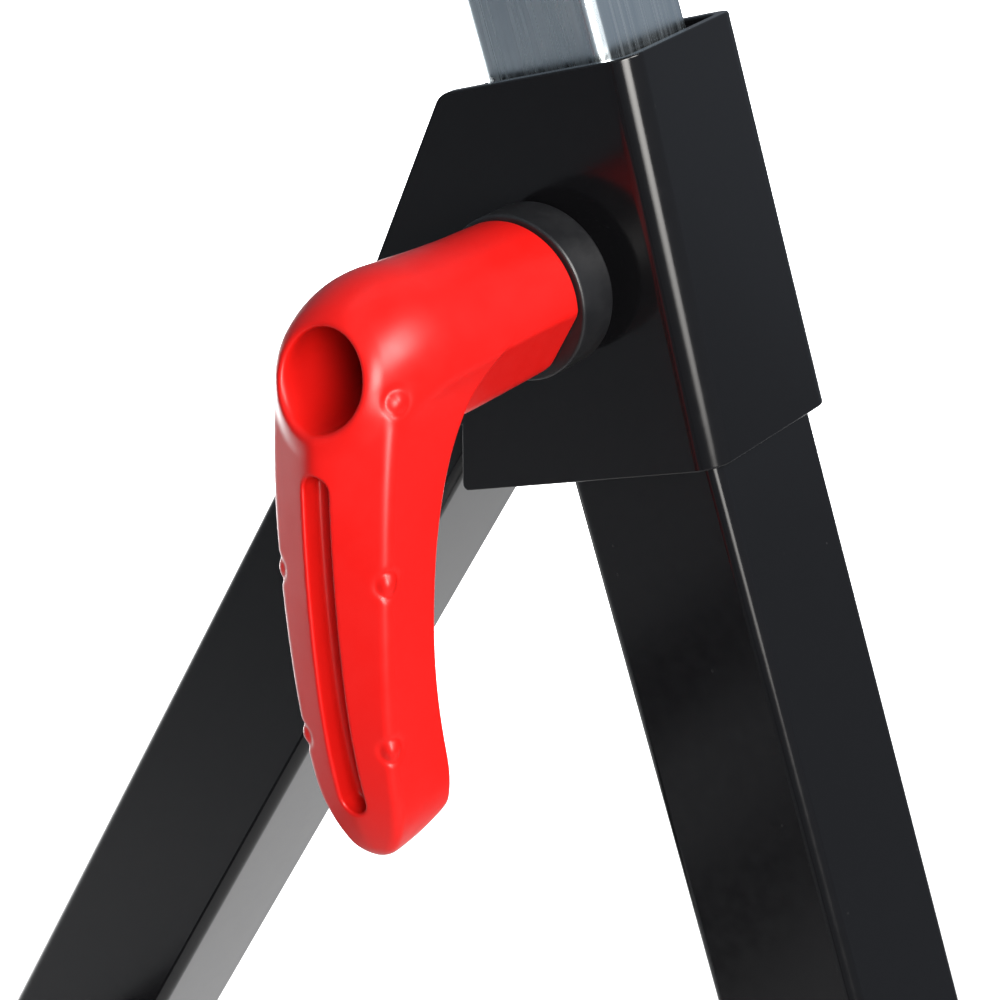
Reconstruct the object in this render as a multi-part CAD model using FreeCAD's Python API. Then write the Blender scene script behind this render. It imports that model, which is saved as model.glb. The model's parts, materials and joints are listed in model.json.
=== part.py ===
import FreeCAD, Part
import math
import os

# Folding, height-adjustable sawhorse. Millimetres, +Z up, X along the beam, standing on Z = 0.
# Two A-shaped ends joined by cross tubes. At each end a front mast carries a sliding post and a
# folded sheet head bracket, and a rear leg hinges inside that bracket. The two clamp levers are on
# the inner faces of the brackets, so that nothing stands out past the legs.

V = FreeCAD.Vector

# ---- driving dimensions ----------------------------------------------------------------------
LEG_SIDE = 30.0            # mast and rear leg, square tube
POST_SIDE = 25.0           # telescoping post, square tube
BEAM_SIDE = 40.0           # support beam, square tube
CROSS_SIDE = 25.0          # cross tubes
WALL = 1.5                 # wall of every tube
LEG_CORNER = 2.2           # outer corner radius of the legs and cross tubes
POST_CORNER = 2.5          # outer corner radius of post and beam

BEAM_LENGTH = 1000.0
MAST_X = 350.0             # centre of each end frame, either side of the middle
HEAD_HEIGHT = 640.0        # height of the head datum, a point on the mast's axis
MAST_LEAN = 19.05          # degrees from vertical, top towards -Y
REAR_LEAN = 28.71          # degrees from vertical, top towards +Y
MAST_TOP = 73.0            # mast end above the head datum, along the mast
BEAM_CENTRE = 254.0        # beam centre above the head datum, along the mast, at rest
POST_LENGTH = 720.0        # beam centre to the post's lower end

# head bracket, in the mast's own frame: Y across the mast, Z along it from the head datum
SHEET = 2.5
FLANGE_GAP = 31.0          # between the two flanges
BRACKET_LOW = 6.9
BRACKET_TOP = 73.9
WEB_OUTER = 17.6           # outer face of the web at the bracket's lower edge
TOP_FLARE_OUTER = 3.3      # how far the web's outer-side corner opens at the top edge
TOP_FLARE_INNER = 1.0
BEND = 4.6                 # outer bend radius
TOP_CORNER_Y = -17.3       # where the top edge ends and the slope begins
FOOT_CORNER_Y = -35.9      # where the lower edge ends
EDGE_ROUND = 1.5

PIVOT_Y = -33.0
PIVOT_Z = 33.7
EAR_RADIUS = 15.3
STOP_GAP = 0.3             # rear leg's mitred end to the mast's face when open
SWING_RADIUS = 17.4        # trimmed corner of the rear leg, so that it turns past the mast

# clamp screw, along X, measured from the mast's axis towards the middle
SCREW_Y = -3.8
SCREW_Z = 41.65
NUT_HEIGHT = 7.0
NUT_ACROSS = 17.0
THREAD_RADIUS = 5.0
STUD_RADIUS = 4.95
COLLAR_BASE = 21.8
COLLAR_HEIGHT = 8.1
COLLAR_RADIUS = 13.7
COLLAR_BORE = 10.4         # the collar is a cup over the weld nut
COLLAR_FLOOR = 2.4
HANDLE_BASE = 30.1
STUD_END = 39.7
TEETH_BASE = 42.4
INSERT_TOP = 45.7
HANDLE_WEB_TOP = 48.9
RETAINER_HEAD_BASE = 58.3
RETAINER_HEAD_TOP = 61.7
HEAD_BORE = 8.2
HUB_RADIUS = 13.2
HUB_DOME_BASE = 66.0
HUB_DOME_HEIGHT = 19.0
BACK_START = 54.5          # where the arm's back edge leaves the hub
LEVER_TURN = -11.0         # degrees about X, lever arm against the mast's axis

# feet and cross tubes
BOOT_SIDE = 36.0
BOOT_LENGTH = 48.0
BOOT_SOLE = 8.0
MAST_CROSS = (-190.0, -520.0)    # centres along the mast from the head datum
REAR_CROSS = (-260.0, -560.0)    # centres along the rear leg from the pivot

# ---- values that follow ----------------------------------------------------------------------
SIN_MAST = math.sin(math.radians(MAST_LEAN))
COS_MAST = math.cos(math.radians(MAST_LEAN))
TAN_MAST = math.tan(math.radians(MAST_LEAN))
TAN_REAR = math.tan(math.radians(REAR_LEAN))
COS_REAR = math.cos(math.radians(REAR_LEAN))
PIVOT_UP = HEAD_HEIGHT + PIVOT_Y * SIN_MAST + PIVOT_Z * COS_MAST
PIVOT_BACK = PIVOT_Y * COS_MAST - PIVOT_Z * SIN_MAST

# the datum's Y puts the middle of the feet at Y = 0
FRONT_REACH = HEAD_HEIGHT * TAN_MAST + BOOT_SIDE / 2.0 / COS_MAST
REAR_REACH = PIVOT_BACK - PIVOT_UP * TAN_REAR - BOOT_SIDE / 2.0 / COS_REAR
HEAD_Y = -(FRONT_REACH + REAR_REACH) / 2.0

BEAM_Y = HEAD_Y - BEAM_CENTRE * SIN_MAST
BEAM_Z = HEAD_HEIGHT + BEAM_CENTRE * COS_MAST
LONG = 1500.0


# ---- frames ----------------------------------------------------------------------------------
def on_mast(shape):
    """From the mast's own upright frame, X towards the middle, to its place at the -X end."""
    place = FreeCAD.Placement(V(-MAST_X, HEAD_Y, HEAD_HEIGHT), FreeCAD.Rotation(V(1, 0, 0), MAST_LEAN))
    moved = shape.copy()
    moved.Placement = place.multiply(moved.Placement)
    return moved


def on_rear(shape):
    """From the rear leg's own upright frame, pivot at its origin, to its place at the -X end."""
    turn = FreeCAD.Rotation(V(1, 0, 0), -REAR_LEAN)
    place = FreeCAD.Placement(V(-MAST_X, HEAD_Y + PIVOT_BACK, PIVOT_UP), turn)
    moved = shape.copy()
    moved.Placement = place.multiply(moved.Placement)
    return moved


def on_screw(shape):
    """From the clamp screw's frame, X along the screw and the arm along -Z, to the mast's frame."""
    place = FreeCAD.Placement(V(0, SCREW_Y, SCREW_Z), FreeCAD.Rotation(V(1, 0, 0), LEVER_TURN))
    moved = shape.copy()
    moved.Placement = place.multiply(moved.Placement)
    return moved


def other_end(shape):
    return shape.mirror(V(0, 0, 0), V(1, 0, 0))


# ---- building blocks -------------------------------------------------------------------------
def rounded_square(side, corner, z):
    """A face: a square with rounded corners, centred on Z at height z."""
    h = side / 2.0
    k = h - corner
    m = h - corner * (1.0 - math.sqrt(0.5))
    edges = []
    turns = ((1, 1), (-1, 1), (-1, -1), (1, -1))
    for i, (sx, sy) in enumerate(turns):
        first = V(sx * h, sy * k, z) if i % 2 == 0 else V(sx * k, sy * h, z)
        last = V(sx * k, sy * h, z) if i % 2 == 0 else V(sx * h, sy * k, z)
        edges.append(Part.Arc(first, V(sx * m, sy * m, z), last).toShape())
        nx, ny = turns[(i + 1) % 4]
        follow = V(nx * k, ny * h, z) if i % 2 == 0 else V(nx * h, ny * k, z)
        edges.append(Part.LineSegment(last, follow).toShape())
    return Part.Face(Part.Wire(edges))


def square_bar(side, corner, low, high):
    return rounded_square(side, corner, low).extrude(V(0, 0, high - low))


def square_tube(side, wall, corner, low, high):
    outer = square_bar(side, corner, low, high)
    inner = square_bar(side - 2.0 * wall, max(corner - wall, 0.4), low - 1.0, high + 1.0)
    return outer.cut(inner)


def along_x(radius, start, end, y=0.0, z=0.0):
    return Part.makeCylinder(radius, end - start, V(start, y, z), V(1, 0, 0))


def half_space_box(low, high):
    return Part.makeBox(high[0] - low[0], high[1] - low[1], high[2] - low[2], V(*low))


def below(z):
    return half_space_box((-LONG, -LONG, z - LONG), (LONG, LONG, z))


def above(z):
    return half_space_box((-LONG, -LONG, z), (LONG, LONG, z + LONG))


def prism_x(points, start, end):
    """Polygon given as (y, z) pairs, extruded along X."""
    wire = Part.makePolygon([V(start, y, z) for y, z in points + points[:1]])
    return Part.Face(wire).extrude(V(end - start, 0, 0))


def hexagon_x(across, start, end, y=0.0, z=0.0):
    radius = across / math.sqrt(3.0)
    corners = []
    for i in range(6):
        angle = math.radians(60.0 * i + 30.0)
        corners.append((y + radius * math.cos(angle), z + radius * math.sin(angle)))
    return prism_x(corners, start, end)


def toothed_x(root, tip, count, start, end):
    corners = []
    for i in range(2 * count):
        radius = tip if i % 2 == 0 else root
        angle = math.pi * i / count
        corners.append((radius * math.cos(angle), radius * math.sin(angle)))
    return prism_x(corners, start, end)


# ---- mast frame ------------------------------------------------------------------------------
def mast_leg():
    foot_end = -(HEAD_HEIGHT / COS_MAST + LEG_SIDE)
    tube = square_tube(LEG_SIDE, WALL, LEG_CORNER, foot_end, MAST_TOP)
    tube = tube.cut(along_x(5.5, LEG_SIDE / 2.0 - WALL - 1.0, LEG_SIDE / 2.0 + 1.0, SCREW_Y, SCREW_Z))
    return on_mast(tube).cut(below(BOOT_SOLE))


def u_section(z, outer_flare, inner_flare):
    """The bracket's bent section: two flanges running to -Y and the web between them."""
    out = FLANGE_GAP / 2.0 + SHEET
    back = -60.0
    edges = []

    def bend(sx, flare, radius, face, web):
        s = radius * (1.0 - math.sqrt(0.5))
        start = V(sx * face, web + flare - radius, z)
        middle = V(sx * (face - s), web + flare - s, z)
        end = V(sx * (face - radius), web + flare, z)
        return start, middle, end

    o1, o2, o3 = bend(1, outer_flare, BEND, out, WEB_OUTER)
    o4, o5, o6 = bend(-1, inner_flare, BEND, out, WEB_OUTER)
    face = out - SHEET
    web = WEB_OUTER - SHEET
    i1, i2, i3 = bend(1, outer_flare, BEND - SHEET, face, web)
    i4, i5, i6 = bend(-1, inner_flare, BEND - SHEET, face, web)
    edges.append(Part.LineSegment(V(out, back, z), o1))
    edges.append(Part.Arc(o1, o2, o3))
    edges.append(Part.LineSegment(o3, o6))
    edges.append(Part.Arc(o6, o5, o4))
    edges.append(Part.LineSegment(o4, V(-out, back, z)))
    edges.append(Part.LineSegment(V(-out, back, z), V(-face, back, z)))
    edges.append(Part.LineSegment(V(-face, back, z), i4))
    edges.append(Part.Arc(i4, i5, i6))
    edges.append(Part.LineSegment(i6, i3))
    edges.append(Part.Arc(i3, i2, i1))
    edges.append(Part.LineSegment(i1, V(face, back, z)))
    edges.append(Part.LineSegment(V(face, back, z), V(out, back, z)))
    return Part.Wire([e.toShape() for e in edges])


def slope_touch():
    """Where the line from the top corner touches the ear's circle."""
    dy = PIVOT_Y - TOP_CORNER_Y
    dz = PIVOT_Z - BRACKET_TOP
    reach = math.hypot(dy, dz)
    swing = math.asin(EAR_RADIUS / reach)
    heading = math.atan2(dz, dy) - swing
    run = reach * math.cos(swing)
    return TOP_CORNER_Y + run * math.cos(heading), BRACKET_TOP + run * math.sin(heading)


def flange_outline():
    """Side outline of the bracket, generous past the web, as a solid along X."""
    x = -40.0
    touch_y, touch_z = slope_touch()
    rise = 11.5
    ear_low = (FOOT_CORNER_Y + rise * TAN_MAST, BRACKET_LOW + rise)
    angle = math.atan2(ear_low[1] - PIVOT_Z, ear_low[0] - PIVOT_Y)
    ear_low = (PIVOT_Y + EAR_RADIUS * math.cos(angle), PIVOT_Z + EAR_RADIUS * math.sin(angle))
    past = 40.0
    edges = [
        Part.LineSegment(V(x, TOP_CORNER_Y, BRACKET_TOP), V(x, touch_y, touch_z)),
        Part.Arc(V(x, touch_y, touch_z), V(x, PIVOT_Y - EAR_RADIUS, PIVOT_Z), V(x, *ear_low)),
        Part.LineSegment(V(x, *ear_low), V(x, FOOT_CORNER_Y, BRACKET_LOW)),
        Part.LineSegment(V(x, FOOT_CORNER_Y, BRACKET_LOW), V(x, past, BRACKET_LOW)),
        Part.LineSegment(V(x, past, BRACKET_LOW), V(x, past, BRACKET_TOP)),
        Part.LineSegment(V(x, past, BRACKET_TOP), V(x, TOP_CORNER_Y, BRACKET_TOP)),
    ]
    return Part.Face(Part.Wire([e.toShape() for e in edges])).extrude(V(-2.0 * x, 0, 0))


def head_bracket():
    margin = 5.0
    low = BRACKET_LOW - margin
    high = BRACKET_TOP + margin
    span = BRACKET_TOP - BRACKET_LOW
    at_low = -margin / span
    at_high = 1.0 + margin / span
    lower = u_section(low, TOP_FLARE_OUTER * at_low, TOP_FLARE_INNER * at_low)
    upper = u_section(high, TOP_FLARE_OUTER * at_high, TOP_FLARE_INNER * at_high)
    sheet = Part.makeLoft([lower, upper], True, True)
    outline = flange_outline()
    corners = []
    for edge in outline.Edges:
        middle = edge.CenterOfMass
        if abs(middle.x) < 1.0 and middle.y < 0.0 and edge.Length > 50.0:
            if abs(middle.z - BRACKET_TOP) < 0.1 or abs(middle.z - BRACKET_LOW) < 0.1:
                corners.append(edge)
    outline = outline.makeFillet(EDGE_ROUND, corners)
    sheet = sheet.common(outline)
    sheet = sheet.cut(along_x(5.5, 10.0, 25.0, SCREW_Y, SCREW_Z))
    sheet = sheet.cut(along_x(4.2, -25.0, 25.0, PIVOT_Y, PIVOT_Z))
    return on_mast(sheet)


def weld_nut():
    start = FLANGE_GAP / 2.0 + SHEET
    nut = hexagon_x(NUT_ACROSS, start, start + NUT_HEIGHT, SCREW_Y, SCREW_Z)
    nut = nut.cut(along_x(THREAD_RADIUS, start - 1.0, start + NUT_HEIGHT + 1.0, SCREW_Y, SCREW_Z))
    return on_mast(nut)


def mast_guide():
    """Plastic sleeve in the mast's mouth that centres the post."""
    outer = LEG_SIDE - 2.0 * WALL - 0.1
    inner = POST_SIDE + 0.3
    sleeve = square_bar(outer, 1.0, SCREW_Z - 16.0, MAST_TOP - 1.5)
    sleeve = sleeve.cut(square_bar(inner, POST_CORNER, 0.0, MAST_TOP + 1.0))
    sleeve = sleeve.cut(along_x(6.0, 5.0, 20.0, SCREW_Y, SCREW_Z))
    return on_mast(sleeve)


def pivot_bolt():
    face = FLANGE_GAP / 2.0 + SHEET
    shank = along_x(4.0, -face - 9.5, face + 0.5, PIVOT_Y, PIVOT_Z)
    head = along_x(7.2, face, face + 3.6, PIVOT_Y, PIVOT_Z)
    head = head.makeFillet(1.8, [e for e in head.Edges if abs(e.CenterOfMass.x - face - 3.6) < 0.01])
    socket = hexagon_x(5.0, face + 1.4, face + 5.0, PIVOT_Y, PIVOT_Z)
    return on_mast(shank.fuse(head).removeSplitter().cut(socket))


def pivot_washer():
    face = FLANGE_GAP / 2.0 + SHEET
    ring = along_x(8.0, -face - 1.6, -face, PIVOT_Y, PIVOT_Z)
    return on_mast(ring.cut(along_x(4.1, -face - 3.0, -face + 1.0, PIVOT_Y, PIVOT_Z)))


def pivot_lock_nut():
    face = FLANGE_GAP / 2.0 + SHEET + 1.6
    nut = hexagon_x(13.0, -face - 5.5, -face, PIVOT_Y, PIVOT_Z)
    nut = nut.fuse(along_x(5.6, -face - 7.6, -face - 5.5, PIVOT_Y, PIVOT_Z))
    return on_mast(nut.cut(along_x(4.02, -face - 9.0, -face + 1.0, PIVOT_Y, PIVOT_Z)))


def cross_tube(place, centre):
    """Square tube from one end frame to the other, between the legs' inner faces."""
    tube = square_tube(CROSS_SIDE, WALL, LEG_CORNER, LEG_SIDE / 2.0, 2.0 * MAST_X - LEG_SIDE / 2.0)
    tube.Placement = FreeCAD.Placement(V(0.0, 0.0, centre), FreeCAD.Rotation(V(0, 1, 0), 90.0))
    return place(tube)


def boot(place, leg_lean_cos, above_floor):
    """Moulded foot over the end of a leg, with a level sole."""
    end = -above_floor / leg_lean_cos
    body = square_bar(BOOT_SIDE, 5.0, end - BOOT_SIDE, end + BOOT_LENGTH)
    rim = [e for e in body.Edges if abs(e.CenterOfMass.z - end - BOOT_LENGTH) < 0.01]
    body = place(body.makeFillet(1.4, rim)).cut(below(0.0))
    socket = square_bar(LEG_SIDE + 0.1, LEG_CORNER, end - BOOT_SIDE, end + BOOT_LENGTH + 5.0)
    socket = place(socket).cut(below(BOOT_SOLE - 0.02))
    return body.cut(socket)


# ---- rear frame ------------------------------------------------------------------------------
def rear_leg():
    end = -(PIVOT_UP / COS_REAR + LEG_SIDE)
    tube = square_tube(LEG_SIDE, WALL, LEG_CORNER, end, 60.0)
    tube = tube.cut(along_x(5.5, -20.0, 20.0))
    tube = on_rear(tube).cut(below(BOOT_SOLE))
    stop = half_space_box((-50.0, -LEG_SIDE / 2.0 - STOP_GAP, -80.0), (50.0, 80.0, 160.0))
    tube = tube.cut(on_mast(stop))
    corner = half_space_box((-50.0, PIVOT_Y + 12.0, PIVOT_Z - 14.0), (50.0, PIVOT_Y + 30.0, PIVOT_Z))
    corner = corner.cut(along_x(SWING_RADIUS, -60.0, 60.0, PIVOT_Y, PIVOT_Z))
    return tube.cut(on_mast(corner))


def pivot_sleeve():
    half = LEG_SIDE / 2.0 + 0.25
    return on_rear(along_x(5.5, -half, half).cut(along_x(4.05, -20.0, 20.0)))


# ---- beam and posts --------------------------------------------------------------------------
def post():
    low = BEAM_CENTRE - POST_LENGTH
    tube = square_tube(POST_SIDE, WALL, POST_CORNER, low, BEAM_CENTRE + 10.0)
    return on_mast(tube).cut(above(BEAM_Z - BEAM_SIDE / 2.0))


def post_glide():
    low = BEAM_CENTRE - POST_LENGTH
    cap = square_bar(POST_SIDE + 1.5, 1.6, low - 12.0, low)
    plug = square_bar(POST_SIDE - 2.0 * WALL - 0.1, 0.9, low, low + 22.0)
    return on_mast(cap.fuse(plug))


def beam():
    tube = square_tube(BEAM_SIDE, WALL, POST_CORNER, -BEAM_LENGTH / 2.0, BEAM_LENGTH / 2.0)
    tube.Placement = FreeCAD.Placement(V(0, BEAM_Y, BEAM_Z), FreeCAD.Rotation(V(0, 1, 0), 90.0))
    return tube


def beam_end_cap():
    end = BEAM_LENGTH / 2.0
    plate = square_bar(BEAM_SIDE, POST_CORNER, end, end + 3.5)
    plate = plate.makeFillet(1.2, [e for e in plate.Edges if abs(e.CenterOfMass.z - end - 3.5) < 0.01])
    plug = square_tube(BEAM_SIDE - 2.0 * WALL - 0.1, 2.5, 0.9, end - 16.0, end)
    cap = plate.fuse(plug)
    cap.Placement = FreeCAD.Placement(V(0, BEAM_Y, BEAM_Z), FreeCAD.Rotation(V(0, 1, 0), -90.0))
    return cap


# ---- clamp -----------------------------------------------------------------------------------
def clamp_collar():
    ring = along_x(COLLAR_RADIUS, COLLAR_BASE, COLLAR_BASE + COLLAR_HEIGHT)
    rims = [e for e in ring.Edges if e.Length > 70.0]
    ring = ring.makeFillet(0.5, rims)
    ring = ring.cut(along_x(COLLAR_BORE, COLLAR_BASE - 1.0, COLLAR_BASE + COLLAR_HEIGHT - COLLAR_FLOOR))
    return on_mast(on_screw(ring.cut(along_x(5.1, 20.0, 40.0))))


def clamp_stud():
    tip = POST_SIDE / 2.0 + 0.08
    stud = along_x(STUD_RADIUS, tip, STUD_END)
    stud = stud.makeChamfer(1.2, [e for e in stud.Edges if abs(e.CenterOfMass.x - tip) < 0.01])
    return on_mast(on_screw(stud))


def clamp_insert():
    """Hub inside the lever: round body, tooth ring at its top, stud pressed in below."""
    body = along_x(8.2, HANDLE_BASE, TEETH_BASE)
    body = body.fuse(toothed_x(7.6, 8.6, 16, TEETH_BASE, INSERT_TOP))
    body = body.cut(along_x(STUD_RADIUS, HANDLE_BASE - 1.0, STUD_END))
    body = body.cut(along_x(2.5, STUD_END - 1.0, INSERT_TOP + 1.0))
    return on_mast(on_screw(body))


def retaining_screw():
    shank = along_x(2.5, STUD_END + 0.5, RETAINER_HEAD_BASE)
    head = along_x(6.0, RETAINER_HEAD_BASE, RETAINER_HEAD_TOP)
    head = head.makeFillet(1.2, [e for e in head.Edges if abs(e.CenterOfMass.x - RETAINER_HEAD_TOP) < 0.01])
    screw = shank.fuse(head).cut(hexagon_x(5.0, RETAINER_HEAD_TOP - 2.2, RETAINER_HEAD_TOP + 1.0))
    return on_mast(on_screw(screw))


def index_spring():
    """Compression spring round the retaining screw, between the lever's web and the screw's head."""
    wire_radius = 0.5
    coil_radius = 4.3
    low = HANDLE_WEB_TOP + wire_radius + 0.05
    height = RETAINER_HEAD_BASE - wire_radius - 0.05 - low
    helix = Part.makeHelix(height / 4.0, height, coil_radius)
    near, far = V(coil_radius - wire_radius, 0, 0), V(coil_radius + wire_radius, 0, 0)
    over, under = V(coil_radius, 0, wire_radius), V(coil_radius, 0, -wire_radius)
    halves = [Part.Arc(near, over, far).toShape(), Part.Arc(far, under, near).toShape()]
    coil = Part.Wire(helix.Edges).makePipeShell([Part.Wire(halves)], True, True)
    coil.Placement = FreeCAD.Placement(V(low, 0, 0), FreeCAD.Rotation(V(0, 1, 0), 90.0))
    return on_mast(on_screw(coil))


def arm_side_outline():
    """The arm seen from its side: (along the screw, down from it)."""
    front = [(80.8, 0.0), (82.3, 10.1), (84.7, 23.3), (85.7, 40.5), (85.6, 52.6), (84.1, 64.7), (79.9, 74.5)]
    back = [(71.8, 73.0), (70.2, 68.8), (70.8, 60.7), (71.2, 50.6), (69.0, 33.0), (65.7, 22.9)]
    back += [(61.8, 14.7), (BACK_START, 8.1)]
    return front, back


def curve(points, axis_y=0.0):
    """A smooth edge through (x, depth) points, in the plane Y = axis_y."""
    line = Part.BSplineCurve()
    line.interpolate([V(x, axis_y, -depth) for x, depth in points])
    return line.toShape()


def straight(first, last, axis_y):
    """A straight edge between two (x, depth) points, in the plane Y = axis_y."""
    return Part.LineSegment(V(first[0], axis_y, -first[1]), V(last[0], axis_y, -last[1])).toShape()


def lever_arm():
    front, back = arm_side_outline()
    across = 16.0
    edges = [
        curve(front, -across),
        straight(front[-1], back[0], -across),
        curve(back, -across),
        straight(back[-1], (BACK_START, 0.0), -across),
        straight((BACK_START, 0.0), front[0], -across),
    ]
    side = Part.Face(Part.Wire(edges)).extrude(V(0, 2.0 * across, 0))
    widths = [(12.1, 0.0), (10.9, 10.1), (9.8, 27.3), (8.5, 45.5)]
    widths += [(7.6, 58.7), (6.5, 68.8), (4.6, 73.3), (0.0, 74.9)]
    right = [V(46.0, half, -depth) for half, depth in widths]
    left = [V(46.0, -half, -depth) for half, depth in widths]
    right_edge = Part.BSplineCurve()
    right_edge.interpolate(right)
    left_edge = Part.BSplineCurve()
    left_edge.interpolate(left)
    top = Part.LineSegment(left[0], right[0]).toShape()
    face = Part.Face(Part.Wire([top, right_edge.toShape(), left_edge.toShape()]))
    return side.common(face.extrude(V(45.0, 0, 0)))


def finger_groove():
    """Long groove down the front of the arm, following its curve."""
    front = arm_side_outline()[0][1:-1]
    half_width = 2.8
    depth = 3.6
    inner = [(x - depth, down) for x, down in front]
    outer = [(x + 5.0, down) for x, down in front]
    edges = [
        curve(outer, -half_width),
        straight(outer[-1], inner[-1], -half_width),
        curve(inner[::-1], -half_width),
        straight(inner[0], outer[0], -half_width),
    ]
    return Part.Face(Part.Wire(edges)).extrude(V(0, 2.0 * half_width, 0))


def lever_handle():
    dome_top = HUB_DOME_BASE + HUB_DOME_HEIGHT
    dome = Part.Ellipse(V(HUB_DOME_BASE, 0, 0), HUB_DOME_HEIGHT, HUB_RADIUS)
    quarter = Part.ArcOfEllipse(dome, 0.0, math.pi / 2.0).toShape()
    edges = [
        Part.LineSegment(V(HANDLE_BASE, 0, 0), V(HANDLE_BASE, HUB_RADIUS - 0.5, 0)).toShape(),
        Part.LineSegment(V(HANDLE_BASE, HUB_RADIUS - 0.5, 0), V(HUB_DOME_BASE, HUB_RADIUS, 0)).toShape(),
        quarter,
        Part.LineSegment(V(dome_top, 0, 0), V(HANDLE_BASE, 0, 0)).toShape(),
    ]
    hub = Part.Face(Part.Wire(Part.__sortEdges__(edges))).revolve(V(0, 0, 0), V(1, 0, 0), 360.0)
    body = hub.fuse(lever_arm()).cut(finger_groove())
    body = body.cut(along_x(8.7, HANDLE_BASE - 1.0, TEETH_BASE))
    body = body.cut(toothed_x(7.8, 8.8, 16, TEETH_BASE - 0.5, INSERT_TOP + 0.2))
    body = body.cut(along_x(3.0, INSERT_TOP - 1.0, HANDLE_WEB_TOP + 1.0))
    body = body.cut(along_x(HEAD_BORE, HANDLE_WEB_TOP, dome_top + 10.0))
    return on_mast(on_screw(body))


# ---- the list of pieces ----------------------------------------------------------------------
def pair(name, shape):
    return {name + "_left": shape, name + "_right": other_end(shape)}


def pieces():
    parts = {}
    parts.update(pair("mast_leg", mast_leg()))
    parts.update(pair("head_bracket", head_bracket()))
    parts.update(pair("weld_nut", weld_nut()))
    parts.update(pair("mast_guide", mast_guide()))
    parts.update(pair("mast_foot", boot(on_mast, COS_MAST, HEAD_HEIGHT)))
    parts.update(pair("pivot_bolt", pivot_bolt()))
    parts.update(pair("pivot_washer", pivot_washer()))
    parts.update(pair("pivot_lock_nut", pivot_lock_nut()))
    parts["mast_cross_tube_upper"] = cross_tube(on_mast, MAST_CROSS[0])
    parts["mast_cross_tube_lower"] = cross_tube(on_mast, MAST_CROSS[1])
    parts.update(pair("rear_leg", rear_leg()))
    parts.update(pair("pivot_sleeve", pivot_sleeve()))
    parts.update(pair("rear_foot", boot(on_rear, COS_REAR, PIVOT_UP)))
    parts["rear_cross_tube_upper"] = cross_tube(on_rear, REAR_CROSS[0])
    parts["rear_cross_tube_lower"] = cross_tube(on_rear, REAR_CROSS[1])
    parts["beam"] = beam()
    parts.update(pair("beam_end_cap", beam_end_cap()))
    parts.update(pair("post", post()))
    parts.update(pair("post_glide", post_glide()))
    parts.update(pair("clamp_collar", clamp_collar()))
    parts.update(pair("clamp_stud", clamp_stud()))
    parts.update(pair("clamp_insert", clamp_insert()))
    parts.update(pair("index_spring", index_spring()))
    parts.update(pair("retaining_screw", retaining_screw()))
    parts.update(pair("lever_handle", lever_handle()))
    return parts


os.makedirs("parts", exist_ok=True)
for node, shape in pieces().items():
    shape.exportStep("parts/" + node + ".step")
    box = shape.BoundBox
    print(node, "valid" if shape.isValid() else "INVALID", len(shape.Solids), round(shape.Volume / 1000.0, 2),
          [round(v, 1) for v in (box.XMin, box.YMin, box.ZMin, box.XMax, box.YMax, box.ZMax)])
print("head datum", round(HEAD_Y, 3), HEAD_HEIGHT, "pivot", round(HEAD_Y + PIVOT_BACK, 3), round(PIVOT_UP, 3))
print("beam centre", round(BEAM_Y, 3), round(BEAM_Z, 3))
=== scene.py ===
import bpy
import bmesh
import json
import math
import numpy as np
from mathutils import Matrix, Vector


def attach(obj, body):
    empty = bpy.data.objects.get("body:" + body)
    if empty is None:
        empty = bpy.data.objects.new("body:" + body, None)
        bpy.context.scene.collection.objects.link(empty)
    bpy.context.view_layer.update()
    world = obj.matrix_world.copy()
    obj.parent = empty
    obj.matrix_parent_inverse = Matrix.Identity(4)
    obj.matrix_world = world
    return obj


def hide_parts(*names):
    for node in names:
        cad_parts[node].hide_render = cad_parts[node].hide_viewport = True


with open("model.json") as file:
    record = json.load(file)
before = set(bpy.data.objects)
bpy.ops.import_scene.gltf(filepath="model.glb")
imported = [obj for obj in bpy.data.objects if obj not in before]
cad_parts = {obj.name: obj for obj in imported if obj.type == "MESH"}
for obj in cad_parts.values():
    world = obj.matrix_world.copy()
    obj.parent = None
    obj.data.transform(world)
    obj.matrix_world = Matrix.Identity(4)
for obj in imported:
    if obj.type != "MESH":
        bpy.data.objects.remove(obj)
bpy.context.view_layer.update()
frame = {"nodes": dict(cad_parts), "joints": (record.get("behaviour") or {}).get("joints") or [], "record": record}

MM = 0.001
joints = {j["name"]: j for j in frame["joints"]}

# ---- the frame's own directions and places -----------------------------------------------------
# Mast frame, in millimetres: x towards the middle of the sawhorse, w across the mast, u up along it.
X_AXIS = Vector((1, 0, 0))
mast_up = Vector(joints["beam_lift"]["axis"]).normalized()
mast_side = mast_up.cross(X_AXIS)
REAR_LEAN = math.radians(28.71)
rear_up = Vector((0, math.sin(REAR_LEAN), math.cos(REAR_LEAN)))
rear_side = rear_up.cross(X_AXIS)
SCREW_W, SCREW_U = -3.8, 41.65
LEVER_TURN = -11.0
screw = Vector(joints["clamp_turn_left"]["pos_m"])
head = screw - mast_side * SCREW_W * MM - mast_up * SCREW_U * MM
pivot = Vector((head.x, *joints["rear_fold"]["pos_m"][1:]))


def from_mast(points):
    """(x, w, u) in millimetres to the row frame in metres, at the left end."""
    turn = np.array([X_AXIS, mast_side, mast_up])
    return np.array(head) + np.asarray(points, float) @ turn * MM


def from_rear(points):
    """(x, w, u) about the hinge, along the rear leg, in millimetres, to the row frame in metres."""
    turn = np.array([X_AXIS, rear_side, rear_up])
    return np.array(pivot) + np.asarray(points, float) @ turn * MM


def from_screw(points):
    """(x, across, up) about the screw's axis, the lever's arm pointing down, to the mast frame."""
    a = math.radians(LEVER_TURN)
    x, y, z = np.asarray(points, float).T
    w = y * math.cos(a) - z * math.sin(a) + SCREW_W
    u = y * math.sin(a) + z * math.cos(a) + SCREW_U
    return np.stack([x, w, u], 1)


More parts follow.
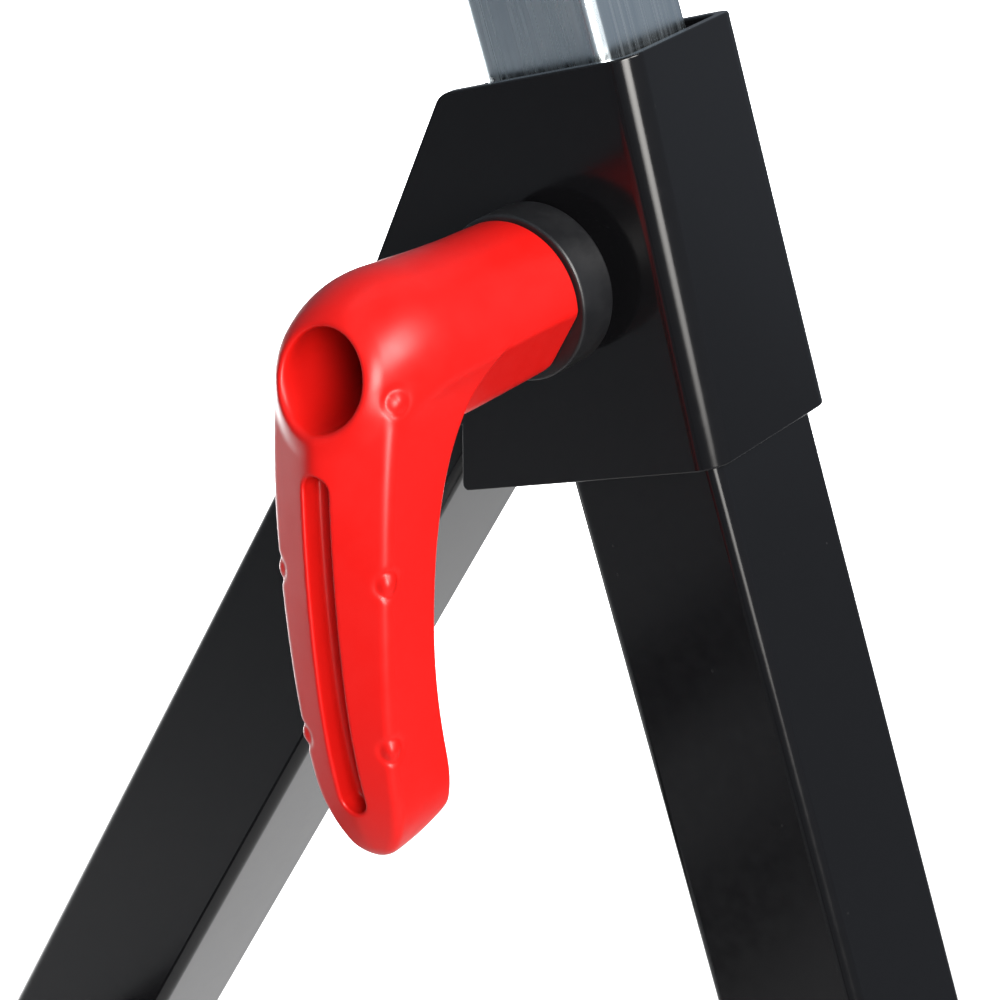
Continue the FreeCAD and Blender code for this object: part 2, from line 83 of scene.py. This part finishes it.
# ---- camera ------------------------------------------------------------------------------------
CAMERA_LENS = 111.07
CAMERA_SENSOR = 36.0
CAMERA_YAW = 35.77
CAMERA_PITCH = 25.29
CAMERA_FROM_HEAD = Vector((398.27, 245.72, 216.93))


def make_camera():
    data = bpy.data.cameras.new("camera")
    camera = bpy.data.objects.new("camera", data)
    bpy.context.scene.collection.objects.link(camera)
    data.lens = CAMERA_LENS
    data.sensor_width = CAMERA_SENSOR
    data.clip_start = 0.02
    data.clip_end = 50.0
    yaw = math.radians(CAMERA_YAW)
    pitch = math.radians(CAMERA_PITCH)
    level = math.cos(pitch)
    forward = Vector((-math.cos(yaw) * level, -math.sin(yaw) * level, -math.sin(pitch)))
    camera.location = head + CAMERA_FROM_HEAD * MM
    camera.rotation_euler = forward.to_track_quat("-Z", "Y").to_euler()
    bpy.context.scene.camera = camera


make_camera()


# ---- materials ---------------------------------------------------------------------------------
class Finish:
    """A small builder round one material's nodes, on the piece's own coordinates in metres."""

    def __init__(self, name, colour, roughness, metallic=0.0):
        self.material = bpy.data.materials.new(name)
        self.material.use_nodes = True
        self.tree = self.material.node_tree
        self.shader = self.tree.nodes["Principled BSDF"]
        self.shader.inputs["Base Color"].default_value = (*colour, 1.0)
        self.shader.inputs["Roughness"].default_value = roughness
        self.shader.inputs["Metallic"].default_value = metallic
        self.colour = colour
        self.where = self.tree.nodes.new("ShaderNodeTexCoord").outputs["Object"]
        self.last_bump = None

    def noise(self, scale, detail=2.0, stretch=(1, 1, 1), turn=(0, 0, 0), roughness=0.5):
        """Noise with that many features a metre, turned and then stretched."""
        turned = self.tree.nodes.new("ShaderNodeMapping")
        turned.inputs["Rotation"].default_value = turn
        stretched = self.tree.nodes.new("ShaderNodeMapping")
        stretched.inputs["Scale"].default_value = stretch
        texture = self.tree.nodes.new("ShaderNodeTexNoise")
        texture.inputs["Scale"].default_value = scale
        texture.inputs["Detail"].default_value = detail
        texture.inputs["Roughness"].default_value = roughness
        self.tree.links.new(self.where, turned.inputs["Vector"])
        self.tree.links.new(turned.outputs["Vector"], stretched.inputs["Vector"])
        self.tree.links.new(stretched.outputs["Vector"], texture.inputs["Vector"])
        return texture.outputs["Fac"]

    def ramp(self, value, low, high, out_low, out_high):
        """The value carried from one range to another."""
        node = self.tree.nodes.new("ShaderNodeMapRange")
        node.inputs["From Min"].default_value = low
        node.inputs["From Max"].default_value = high
        node.inputs["To Min"].default_value = out_low
        node.inputs["To Max"].default_value = out_high
        self.tree.links.new(value, node.inputs["Value"])
        return node.outputs["Result"]

    def tint(self, value, other):
        """The base colour moves to another where the value is 1."""
        node = self.tree.nodes.new("ShaderNodeMix")
        node.data_type = "RGBA"
        socket = self.shader.inputs["Base Color"]
        if socket.is_linked:
            self.tree.links.new(socket.links[0].from_socket, node.inputs[6])
        else:
            node.inputs[6].default_value = (*self.colour, 1.0)
        node.inputs[7].default_value = (*other, 1.0)
        self.tree.links.new(value, node.inputs["Factor"])
        self.tree.links.new(node.outputs[2], socket)

    def roughen(self, value):
        self.tree.links.new(value, self.shader.inputs["Roughness"])

    def bump(self, value, height):
        """Relief of that height in metres."""
        node = self.tree.nodes.new("ShaderNodeBump")
        node.inputs["Strength"].default_value = 1.0
        node.inputs["Distance"].default_value = height
        self.tree.links.new(value, node.inputs["Height"])
        if self.last_bump is not None:
            self.tree.links.new(self.last_bump, node.inputs["Normal"])
        self.last_bump = node.outputs["Normal"]
        self.tree.links.new(self.last_bump, self.shader.inputs["Normal"])


def make_paint():
    f = Finish("black_powder_coat", (0.0035, 0.0035, 0.004), 0.15)
    f.shader.inputs["Specular IOR Level"].default_value = 0.40
    f.roughen(f.ramp(f.noise(320.0, 3.0), 0.3, 0.7, 0.13, 0.17))
    f.bump(f.noise(420.0, 1.5), 0.0000025)
    f.bump(f.noise(1700.0, 2.0), 0.0000012)
    f.tint(f.ramp(f.noise(900.0, 0.0), 0.88, 0.92, 0.0, 0.2), (0.06, 0.06, 0.06))
    return f.material


def make_zinc(name, turn, stretch):
    f = Finish(name, (0.90, 0.98, 1.0), 0.24, 1.0)
    lines = f.noise(900.0, 3.0, stretch, turn, 0.6)
    cloud = f.noise(45.0, 4.0)
    f.tint(f.ramp(cloud, 0.35, 0.7, 0.0, 0.55), (0.66, 0.74, 0.80))
    f.tint(f.ramp(lines, 0.35, 0.75, 0.0, 0.45), (0.55, 0.61, 0.64))
    f.roughen(f.ramp(lines, 0.3, 0.75, 0.17, 0.36))
    f.bump(lines, 0.0000035)
    return f.material


def make_red():
    f = Finish("red_nylon", (0.46, 0.0052, 0.0038), 0.36)
    f.roughen(f.ramp(f.noise(160.0, 3.0), 0.3, 0.7, 0.31, 0.41))
    f.bump(f.noise(2600.0, 1.0), 0.0000016)
    f.shader.inputs["Specular IOR Level"].default_value = 0.30
    f.tint(f.ramp(f.noise(70.0, 2.0), 0.35, 0.75, 0.0, 0.25), (0.42, 0.0044, 0.0032))
    return f.material


def make_plastic(name, colour, roughness, grain, metallic=0.0):
    """A fine-grained finish, for mouldings and for cast or blacked metal."""
    f = Finish(name, colour, roughness, metallic)
    f.roughen(f.ramp(f.noise(220.0, 3.0), 0.3, 0.7, roughness - 0.06, roughness + 0.08))
    f.bump(f.noise(grain, 2.0), 0.000006)
    return f.material


def make_rubber():
    f = Finish("foot_rubber", (0.022, 0.022, 0.023), 0.62)
    f.roughen(f.ramp(f.noise(140.0, 4.0), 0.3, 0.7, 0.52, 0.72))
    f.bump(f.noise(900.0, 3.0), 0.00003)
    f.tint(f.ramp(f.noise(55.0, 5.0), 0.52, 0.75, 0.0, 0.5), (0.06, 0.058, 0.055))
    return f.material


paint = make_paint()
MAST_TURN = (math.atan2(mast_up.y, mast_up.z), 0, 0)
zinc_post = make_zinc("zinc_post", MAST_TURN, (1, 1, 0.012))
zinc_beam = make_zinc("zinc_beam", (0, 0, 0), (0.012, 1, 1))
zinc_bolt = make_zinc("zinc_bolt", (0, 0, 0), (1, 1, 1))
red = make_red()
black_plastic = make_plastic("black_nylon", (0.005, 0.0052, 0.006), 0.40, 1500.0)
guide_plastic = make_plastic("guide_nylon", (0.045, 0.045, 0.047), 0.45, 1200.0)
die_cast = make_plastic("die_cast", (0.42, 0.43, 0.44), 0.45, 1100.0, 1.0)
dark_steel = make_plastic("dark_steel", (0.10, 0.10, 0.105), 0.38, 1800.0, 1.0)
rubber = make_rubber()

SLOT_MATERIAL = {
    "black_paint": paint,
    "red_plastic": red,
    "black_plastic": black_plastic,
    "foot_rubber": rubber,
    "nylon": guide_plastic,
    "die_cast": die_cast,
    "dark_steel": dark_steel,
}
slot_of = {entry["node"]: entry["material_slot"] for entry in frame["record"]["subparts"]}
for name, slot in slot_of.items():
    material = SLOT_MATERIAL.get(slot)
    if slot == "zinc":
        material = zinc_beam if name == "beam" else zinc_post if name.startswith("post") else zinc_bolt
    node = frame["nodes"][name]
    node.data.materials.clear()
    node.data.materials.append(material)


# ---- adding pieces -----------------------------------------------------------------------------
def add_piece(name, points, faces, body, node, normals=None):
    """A piece in the row frame that stands for one CAD node and has its slot's finish."""
    mesh = bpy.data.meshes.new(name)
    mesh.from_pydata([tuple(p) for p in points], [], [tuple(f) for f in faces])
    mesh.validate()
    for polygon in mesh.polygons:
        polygon.use_smooth = True
    if normals is not None:
        mesh.normals_split_custom_set_from_vertices([tuple(n) for n in normals])
    mesh.materials.append(SLOT_MATERIAL[slot_of[node]])
    piece = bpy.data.objects.new(name, mesh)
    bpy.context.scene.collection.objects.link(piece)
    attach(piece, body)
    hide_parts(node)
    return piece


def mirrored(points):
    return np.asarray(points) * np.array([-1.0, 1.0, 1.0])


def at_both_ends(name, points, faces, body, node, normals=None, sharp=None):
    """The left end's piece and its mirror image at the right end. {end} in a name is the end's name."""
    for end in ("left", "right"):
        if end == "left":
            p, f, n = points, faces, normals
        else:
            p, f = mirrored(points), [tuple(reversed(face)) for face in faces]
            n = None if normals is None else mirrored(normals)
        piece = add_piece(name.format(end=end), p, f, body.format(end=end), node.format(end=end), n)
        if sharp is not None:
            finish_edges(piece, sharp)


def finish_edges(piece, degrees):
    """Faces shade flat up to their rounded edges; edges over that angle stay sharp."""
    piece.data.set_sharp_from_angle(angle=math.radians(degrees))
    even = piece.modifiers.new("even", "WEIGHTED_NORMAL")
    even.keep_sharp = True
    even.weight = 90


def mesh_data(bm):
    bm.verts.ensure_lookup_table()
    bm.verts.index_update()
    return np.array([v.co[:] for v in bm.verts]), [[v.index for v in f.verts] for f in bm.faces]


# ---- clamp lever -------------------------------------------------------------------------------
def smooth_max(a, b, k):
    h = np.maximum(k - np.abs(a - b), 0.0) / k
    return np.maximum(a, b) + h * h * k * 0.25


def smooth_min(a, b, k):
    return -smooth_max(-a, -b, k)


def profile(points, degree):
    """A smooth curve through (down the arm, value) points."""
    down, value = np.array(points, float).T
    line = np.polyfit(down, value, degree)
    return lambda v: np.polyval(line, np.clip(v, -2.0, 76.0))


# The arm's section down its length: front edges, crown between them, back, and half widths.
RIDGE = profile([(0, 78.4), (6.6, 80.4), (14.9, 82.4), (26.8, 84.7), (35.4, 85.5),
                 (44.8, 86.3), (53.3, 86.9), (61.4, 86.4), (68.7, 85.4)], 4)
CROWN = profile([(0, 84.0), (10.3, 86.2), (14.2, 86.9), (22.9, 88.3), (32.2, 88.9),
                 (41.7, 89.3), (51.5, 89.3), (60.1, 88.5), (64.7, 87.6), (73.8, 84.6)], 4)
BACK = profile([(0, 54.0), (2.2, 57.5), (4.5, 59.7), (8.1, 61.8), (14.5, 65.6), (22.6, 69.4),
                (32.7, 72.2), (40.3, 73.2), (49.9, 73.5), (56.6, 73.1), (65.5, 71.8), (71.0, 71.2)], 5)
FRONT_HALF = profile([(0, 11.6), (6.6, 11.5), (14.9, 11.3), (26.8, 10.5), (35.4, 10.0),
                      (44.8, 9.3), (53.3, 8.8), (61.4, 8.1), (68.7, 7.4)], 2)
BACK_HALF = profile([(0, 12.4), (3, 11.9), (6, 11.2), (9, 10.2), (14.5, 9.3), (22.6, 9.1), (32.7, 8.8),
                     (40.3, 8.4), (49.9, 8.0), (56.6, 7.6), (65.5, 7.0), (70.8, 6.5)], 4)
LEVER_BASE = 34.4
LEVER_TIP = 73.8
HUB_RADIUS = 13.25
BORE_RADIUS = 7.25
BORE_FLOOR = 53.0
SOCKET_RADIUS = 8.8
SOCKET_TOP = 50.0
GROOVE_RADIUS = 2.3
GROOVE_ENDS = (13.2, 62.2)
GROOVE_DEPTH = 4.6
NUBS = (0.8, 27.0, 53.0)
# Drawn sizes are a little under the real ones, and start from the collar's foot.
LEVER_SCALE = 1.0116
DRAWN_FOOT, COLLAR_FOOT = 26.2, 21.8


def lever_body(s, v, h):
    """Negative inside the lever: s along the screw, v down the arm, h sideways, in millimetres."""
    side = np.abs(h)
    # hub: a slightly waisted barrel with a domed end
    lift = np.clip((s - 42.0) / 36.0, 0.0, 1.0)
    centre = v + 2.3 * lift * lift * (3.0 - 2.0 * lift)
    r = np.sqrt(centre * centre + h * h) + 1e-9
    start = 66.0 + 0.36 * centre * (1.0 - 0.5 * np.minimum(r / 13.3, 1.2) ** 4)
    waist = HUB_RADIUS - 0.45 * np.clip((52.0 - s) / 18.0, 0.0, 1.0) ** 2
    q = np.maximum(s - start, 0.0) / 21.0
    hub = (np.sqrt(q * q + (r / waist) ** 2) - 1.0) * waist
    hub = smooth_max(hub, s - (83.4 + 0.30 * v), 3.5)
    hub = smooth_max(hub, LEVER_BASE - s, 0.9)
    hub = smooth_max(hub, 0.579 * v + 0.817 * side - 11.05, 0.4)
    hub = smooth_max(hub, v - 11.9, 2.5)
    # arm
    over = np.clip((v - 60.0) / 14.2, 0.0, 0.999)
    rounding = np.sqrt(1.0 - over * over)
    ridge, crown, back = RIDGE(v), CROWN(v), BACK(v)
    front_half = FRONT_HALF(v) * rounding
    back_half = BACK_HALF(v) * rounding
    along = np.clip((s - back) / (ridge - back), 0.0, 1.1)
    half = back_half + (front_half - back_half) * along
    bow = 1.1 - np.sqrt(h * h + 2.0) / np.maximum(front_half, 0.5)
    arm = smooth_max(s - (ridge + (crown - ridge) * bow), side - half, 1.7)
    arm = smooth_max(arm, back - s, 0.9)
    arm = smooth_max(arm, v - (LEVER_TIP - 0.022 * (s - 83.5) ** 2), 3.0)
    arm = smooth_max(arm, -v, 3.0)
    body = smooth_min(hub, arm, 2.0)
    # groove down the front
    stadium = np.hypot(h, v - np.clip(v, *GROOVE_ENDS)) - GROOVE_RADIUS
    groove = smooth_max(stadium, (crown - GROOVE_DEPTH) - s, 1.0)
    body = smooth_max(body, -groove, 0.7)
    # grip nubs, each in its own ring
    for down in NUBS:
        ds, dh = s - RIDGE(down) + 0.5, side - FRONT_HALF(down) + 0.5
        away = np.sqrt(ds ** 2 + (v - down) ** 2 + dh ** 2)
        body = body - 0.38 * np.exp(-(away / 0.9) ** 2) + 0.20 * np.exp(-((away - 1.9) / 0.6) ** 2)
    # bore for the retaining screw and spring, web, and socket for the hub insert
    body = smooth_max(body, -np.maximum(r - BORE_RADIUS, BORE_FLOOR - s), 1.4)
    r = np.sqrt(v * v + h * h)
    body = np.maximum(body, -np.maximum(r - SOCKET_RADIUS, s - SOCKET_TOP))
    return np.maximum(body, 3.0 - r)


def surface_net(field, low, high, step):
    """Quads on the zero level of a field, pulled exactly onto it, and the field's normals there."""
    axes = [np.arange(a, b + step, step) for a, b in zip(low, high)]
    values = field(*np.meshgrid(*axes, indexing="ij"))
    inside = values < 0.0
    shape = np.array(values.shape) - 1
    corners = [np.array(c) for c in np.ndindex(2, 2, 2)]
    blocks = [inside[tuple(slice(c, c + n) for c, n in zip(corner, shape))] for corner in corners]
    count = sum(block.astype(int) for block in blocks)
    cells = np.argwhere((count > 0) & (count < 8))
    index = -np.ones(tuple(shape), int)
    index[tuple(cells.T)] = np.arange(len(cells))
    total = np.zeros((len(cells), 3))
    number = np.zeros(len(cells))
    for a in corners:
        for axis in range(3):
            if a[axis]:
                continue
            b = a.copy()
            b[axis] = 1
            va = values[tuple((cells + a).T)]
            vb = values[tuple((cells + b).T)]
            crossing = (va < 0.0) != (vb < 0.0)
            t = np.where(crossing, va / np.where(va == vb, 1.0, va - vb), 0.0)
            total += np.where(crossing[:, None], cells + a + t[:, None] * (b - a), 0.0)
            number += crossing
    points = np.array(low) + total / number[:, None] * step
    faces = []
    for axis in range(3):
        j, k = [n for n in range(3) if n != axis]
        shift = np.zeros(3, int)
        shift[axis] = 1
        starts = np.argwhere(np.diff(inside, axis=axis))
        within = starts[:, [j, k]]
        starts = starts[((within > 0) & (within < shape[[j, k]])).all(1)]
        ring = []
        for dj, dk in ((-1, -1), (0, -1), (0, 0), (-1, 0)):
            cell = starts.copy()
            cell[:, j] += dj
            cell[:, k] += dk
            ring.append(index[tuple(cell.T)])
        quad = np.stack(ring, 1)
        outward = inside[tuple(starts.T)]
        if axis == 1:
            outward = ~outward
        quad[~outward] = quad[~outward][:, ::-1]
        faces.append(quad)
    eps = 0.03
    for _ in range(4):
        slope = np.stack([(field(*(points + e).T) - field(*(points - e).T)) / (2 * eps)
                          for e in np.eye(3) * eps], 1)
        size = np.maximum((slope ** 2).sum(1), 0.05)
        move = field(*points.T)[:, None] * slope / size[:, None]
        points = points - np.clip(move, -0.4 * step, 0.4 * step)
        normals = slope / np.sqrt(size)[:, None]
    normals = normals / np.linalg.norm(normals, axis=1)[:, None]
    return points, np.concatenate(faces), normals


def make_levers():
    points, faces, normals = surface_net(lever_body, (33.0, -15.0, -15.0), (92.0, 76.0, 15.0), 0.4)
    along = COLLAR_FOOT + (points[:, 0] - DRAWN_FOOT) * LEVER_SCALE
    place = np.stack([along, points[:, 2] * LEVER_SCALE, -points[:, 1] * LEVER_SCALE], 1)
    tip = place + np.stack([normals[:, 0], normals[:, 2], -normals[:, 1]], 1)
    low = from_mast(from_screw(place))
    turned = (from_mast(from_screw(tip)) - low) / MM
    at_both_ends("clamp_lever_{end}", low, faces.tolist(), "lever_{end}", "lever_handle_{end}",
                 turned)


# ---- turned pieces -----------------------------------------------------------------------------
def lathe(outline, segments):
    """A closed outline of (x, radius) points turned about the screw's axis."""
    angles = np.arange(segments) * 2 * math.pi / segments
    points = [(x, r * math.cos(a), r * math.sin(a)) for a in angles for x, r in outline]
    n = len(outline)
    faces = []
    for i in range(segments):
        k = (i + 1) % segments
        for j in range(n):
            m = (j + 1) % n
            faces.append((i * n + j, i * n + m, k * n + m, k * n + j))
    return np.array(points), faces


def rounded_outline(corners, radius, steps=4):
    """Every corner of a closed polygon rounded off."""
    out = []
    n = len(corners)
    for i in range(n):
        a, b, c = (np.array(corners[(i + d) % n], float) for d in (-1, 0, 1))
        to_a = (a - b) / np.linalg.norm(a - b)
        to_c = (c - b) / np.linalg.norm(c - b)
        r = min(radius, 0.4 * np.linalg.norm(a - b), 0.4 * np.linalg.norm(c - b))
        for t in np.linspace(0.0, 1.0, steps + 1):
            out.append(tuple(b + to_a * r * (1 - t) ** 2 + to_c * r * t ** 2))
    return out


def make_collars():
    corners = [(COLLAR_FOOT, 10.4), (COLLAR_FOOT, 13.7), (29.9, 13.7), (29.9, 5.1), (27.5, 5.1),
               (27.5, 10.4)]
    points, faces = lathe(rounded_outline(corners, 0.55), 144)
    at_both_ends("collar_ring_{end}", from_mast(from_screw(points)), faces, "collar_{end}",
                 "clamp_collar_{end}", sharp=50)


# ---- head bracket, from its flat pattern -------------------------------------------------------
SHEET = 2.5
BEND = 4.6
FLANGE_OUT = 18.0
WEB_OUT = 17.6
LOW_U, HIGH_U = 6.9, 73.9
FLARE_PLUS, FLARE_MINUS = 3.3, 1.0
HALF_WEB = FLANGE_OUT - BEND
BEND_RUN = BEND * math.pi / 2
PIVOT_W, PIVOT_U, EAR = -33.0, 33.7, 15.3
TOP_CORNER = (-17.3, HIGH_U)
LOW_CORNER = (-35.9, LOW_U)
LOW_EDGE_RISE = 11.5
CORNER_TRIM = 2.0
RIM_BEVEL = 0.4
STUD_HOLE, PIVOT_HOLE = 5.5, 4.2


def flare(u, sign):
    return (FLARE_PLUS if sign > 0 else FLARE_MINUS) * (u - LOW_U) / (HIGH_U - LOW_U)


def flat(w, u, sign):
    """A flange point's distance from the middle of the web, measured round the bend."""
    return sign * (HALF_WEB + BEND_RUN + WEB_OUT + flare(u, sign) - BEND - w)


def flange_edge():
    """The flange's free edge from its lower corner to its upper one, as (w, u)."""
    top, foot = TOP_CORNER, LOW_CORNER
    dw, du = PIVOT_W - top[0], PIVOT_U - top[1]
    reach = math.hypot(dw, du)
    swing = math.asin(EAR / reach)
    heading = math.atan2(du, dw) - swing
    run = reach * math.cos(swing)
    touch = (top[0] + run * math.cos(heading), top[1] + run * math.sin(heading))
    lean = math.tan(math.atan2(-mast_up.y, mast_up.z))
    low = math.atan2(foot[1] + LOW_EDGE_RISE - PIVOT_U, foot[0] + LOW_EDGE_RISE * lean - PIVOT_W)
    start = math.atan2(touch[1] - PIVOT_U, touch[0] - PIVOT_W)
    low += 2 * math.pi if low < start else 0.0
    sweep = np.linspace(low, start, 40)
    ear = [(PIVOT_W + EAR * math.cos(a), PIVOT_U + EAR * math.sin(a)) for a in sweep]
    corners = []
    for corner, before, after in ((foot, (0.0, LOW_U), ear[0]), (top, ear[-1], (0.0, HIGH_U))):
        b = np.array(corner)
        to_a = (np.array(before) - b) / np.linalg.norm(np.array(before) - b)
        to_c = (np.array(after) - b) / np.linalg.norm(np.array(after) - b)
        corners.append([tuple(b + to_a * CORNER_TRIM * (1 - t) ** 2 + to_c * CORNER_TRIM * t ** 2)
                        for t in np.linspace(0, 1, 9)])
    return corners[0] + ear + corners[1]


def fold(a, u, t):
    """Flat pattern to the bent bracket: t is the depth below the outer face."""
    sign = 1.0 if a >= 0 else -1.0
    run = abs(a)
    if run <= HALF_WEB:
        mix = (a + HALF_WEB) / (2 * HALF_WEB)
        return a, WEB_OUT + flare(u, -1) * (1 - mix) + flare(u, 1) * mix - t, u
    lift = WEB_OUT + flare(u, sign) - BEND
    if run <= HALF_WEB + BEND_RUN:
        angle = (run - HALF_WEB) / BEND
        return sign * (HALF_WEB + (BEND - t) * math.sin(angle)), lift + (BEND - t) * math.cos(angle), u
    return sign * (FLANGE_OUT - t), lift - (run - HALF_WEB - BEND_RUN), u


def make_brackets():
    bm = bmesh.new()
    edge = flange_edge()
    outline = [(flat(w, u, 1), u) for w, u in edge]
    outline += [(flat(w, u, -1), u) for w, u in reversed(edge)]
    bm.faces.new([bm.verts.new((a, u, 0.0)) for a, u in outline])
    cuts = [(a, (1, 0, 0)) for a in np.linspace(-HALF_WEB, HALF_WEB, 7)]
    for step in np.linspace(0.0, BEND_RUN, 15)[1:]:
        cuts += [(HALF_WEB + step, (1, 0, 0)), (-HALF_WEB - step, (1, 0, 0))]
    cuts += [(u, (0, 1, 0)) for u in np.linspace(LOW_U, HIGH_U, 8)[1:-1]]
    for distance, direction in cuts:
        where = Vector(direction) * float(distance)
        bmesh.ops.bisect_plane(bm, geom=bm.verts[:] + bm.edges[:] + bm.faces[:], plane_co=where,
                               plane_no=direction)
    top = bmesh.ops.extrude_face_region(bm, geom=bm.faces[:])
    moved = [g for g in top["geom"] if isinstance(g, bmesh.types.BMVert)]
    bmesh.ops.translate(bm, verts=moved, vec=(0, 0, SHEET))
    bm.normal_update()
    bmesh.ops.recalc_face_normals(bm, faces=bm.faces[:])
    rim = []
    for e in bm.edges:
        flats = [abs(f.normal.z) > 0.7 for f in e.link_faces]
        if len(flats) == 2 and flats[0] != flats[1]:
            rim.append(e)
    bmesh.ops.bevel(bm, geom=rim, offset=RIM_BEVEL, offset_type="OFFSET", segments=3, profile=0.5,
                    affect="EDGES")
    for v in bm.verts:
        v.co = Vector(fold(v.co.x, v.co.y, v.co.z))
    bmesh.ops.recalc_face_normals(bm, faces=bm.faces[:])
    points, faces = mesh_data(bm)
    bm.free()
    points, faces = drill(points, faces)
    at_both_ends("bracket_sheet_{end}", from_mast(points), faces, "mast_frame",
                 "head_bracket_{end}", sharp=55)


def drill(points, faces):
    """The holes for the clamp stud and the pivot bolt."""
    mesh = bpy.data.meshes.new("sheet")
    mesh.from_pydata([tuple(p) for p in points], [], faces)
    sheet = bpy.data.objects.new("sheet", mesh)
    bpy.context.scene.collection.objects.link(sheet)
    extra = [sheet]
    holes = ((STUD_HOLE, 12.0, 24.0, SCREW_W, SCREW_U), (PIVOT_HOLE, -24.0, 24.0, PIVOT_W, PIVOT_U))
    for radius, first, last, w, u in holes:
        bm = bmesh.new()
        turn = Matrix.Translation(((first + last) / 2, w, u)) @ Matrix.Rotation(math.pi / 2, 4, "Y")
        bmesh.ops.create_cone(bm, cap_ends=True, segments=48, radius1=radius, radius2=radius,
                              depth=last - first, matrix=turn)
        drill_mesh = bpy.data.meshes.new("drill")
        bm.to_mesh(drill_mesh)
        bm.free()
        cutter = bpy.data.objects.new("drill", drill_mesh)
        bpy.context.scene.collection.objects.link(cutter)
        cut = sheet.modifiers.new("cut", "BOOLEAN")
        cut.operation = "DIFFERENCE"
        cut.solver = "EXACT"
        cut.object = cutter
        extra.append(cutter)
    bpy.context.view_layer.update()
    done = bpy.data.meshes.new_from_object(sheet.evaluated_get(bpy.context.evaluated_depsgraph_get()))
    points = np.array([v.co[:] for v in done.vertices])
    faces = [list(p.vertices) for p in done.polygons]
    for piece in extra:
        data = piece.data
        bpy.data.objects.remove(piece)
        bpy.data.meshes.remove(data)
    bpy.data.meshes.remove(done)
    return points, faces


# ---- feet --------------------------------------------------------------------------------------
def square_ring(side, corner, z, steps=8):
    """Points round a square with rounded corners."""
    h = side / 2 - corner
    ring = []
    for quarter, (sx, sy) in enumerate(((1, 1), (-1, 1), (-1, -1), (1, -1))):
        for t in np.linspace(0.0, math.pi / 2, steps + 1):
            a = quarter * math.pi / 2 + t
            ring.append((sx * h + corner * math.cos(a), sy * h + corner * math.sin(a), z))
    return ring


FOOT_SIDE = 36.0
FOOT_CORNER = 5.0
FOOT_HEIGHT = 48.0


def make_foot(name, node, place, body, reach):
    """Moulded foot with three shallow rings and a rounded lip, cut level at the floor."""
    end = -reach
    lip = [(0.0, 1.4), (0.4, 0.7), (1.0, 0.2), (1.8, 0.0)]
    stations = [(end - 30.0, 0.0)]
    for ring in (12.0, 19.0, 26.0):
        stations += [(end + ring - 1.3, 0.0), (end + ring - 0.8, 0.45), (end + ring, 0.7),
                     (end + ring + 0.8, 0.45), (end + ring + 1.3, 0.0)]
    stations += [(end + 40.0, 0.0), (end + 40.6, 0.5), (end + 41.6, 0.5), (end + 42.2, 0.0)]
    stations += [(end + FOOT_HEIGHT - drop, inset) for drop, inset in reversed(lip)]
    bm = bmesh.new()
    rows = []
    for z, inset in stations:
        ring = square_ring(FOOT_SIDE - 2 * inset, FOOT_CORNER - 0.5 * inset, z)
        rows.append([bm.verts.new(p) for p in place(ring)])
    n = len(rows[0])
    for a, b in zip(rows, rows[1:]):
        for i in range(n):
            bm.faces.new((a[i], a[(i + 1) % n], b[(i + 1) % n], b[i]))
    bm.faces.new(rows[-1])
    cut = bmesh.ops.bisect_plane(bm, geom=bm.verts[:] + bm.edges[:] + bm.faces[:], plane_co=(0, 0, 0),
                                 plane_no=(0, 0, -1), clear_outer=True)
    rim = [e for e in cut["geom_cut"] if isinstance(e, bmesh.types.BMEdge)]
    bmesh.ops.contextual_create(bm, geom=rim)
    bmesh.ops.recalc_face_normals(bm, faces=bm.faces[:])
    points, faces = mesh_data(bm)
    bm.free()
    at_both_ends(name, points, faces, body, node, sharp=50)


make_levers()
make_collars()
make_brackets()
make_foot("mast_boot_{end}", "mast_foot_{end}", from_mast, "mast_frame", head.z / mast_up.z / MM)
make_foot("rear_boot_{end}", "rear_foot_{end}", from_rear, "rear_frame", pivot.z / rear_up.z / MM)


# ---- floor and light ---------------------------------------------------------------------------
FLOOR_HALF = 12.0
HEAD_TARGET = (-0.35, 0.08, 0.66)


def make_floor():
    mesh = bpy.data.meshes.new("floor")
    corners = [(x * FLOOR_HALF, y * FLOOR_HALF, 0) for x, y in ((-1, -1), (1, -1), (1, 1), (-1, 1))]
    mesh.from_pydata(corners, [], [(0, 1, 2, 3)])
    floor = bpy.data.objects.new("floor", mesh)
    bpy.context.scene.collection.objects.link(floor)
    floor.data.materials.append(Finish("floor_paper", (0.62, 0.62, 0.62), 0.9).material)


def area_light(name, place, target, size, power, colour=(1, 1, 1), spread=180.0):
    """A rectangular light of that size, power and spread in degrees, aimed at the target."""
    data = bpy.data.lights.new(name, "AREA")
    data.shape = "RECTANGLE"
    data.size, data.size_y = size
    data.energy = power
    data.color = colour
    data.spread = math.radians(spread)
    lamp = bpy.data.objects.new(name, data)
    lamp.location = place
    lamp.rotation_euler = (Vector(target) - Vector(place)).to_track_quat("-Z", "Y").to_euler()
    bpy.context.scene.collection.objects.link(lamp)


def make_light():
    world = bpy.data.worlds.new("studio")
    world.use_nodes = True
    sky = world.node_tree.nodes["Background"]
    sky.inputs["Color"].default_value = (0.76, 0.86, 1.0, 1.0)
    sky.inputs["Strength"].default_value = 0.26
    bpy.context.scene.world = world
    area_light("floor_wash", (-1.5, -1.7, 2.0), (-1.5, -1.7, 0), (1.0, 1.0), 150.0, spread=80.0)
    area_light("key", (0.98, 1.76, 1.44), HEAD_TARGET, (1.2, 2.0), 16.5, (1.0, 0.97, 0.93), 50.0)
    area_light("fill", (-0.45, 2.1, 2.3), (-0.35, 0.08, 0.68), (1.5, 1.5), 11.0, (1.0, 0.98, 0.96), 50.0)


make_floor()
make_light()
bpy.context.scene.view_settings.view_transform = "Standard"
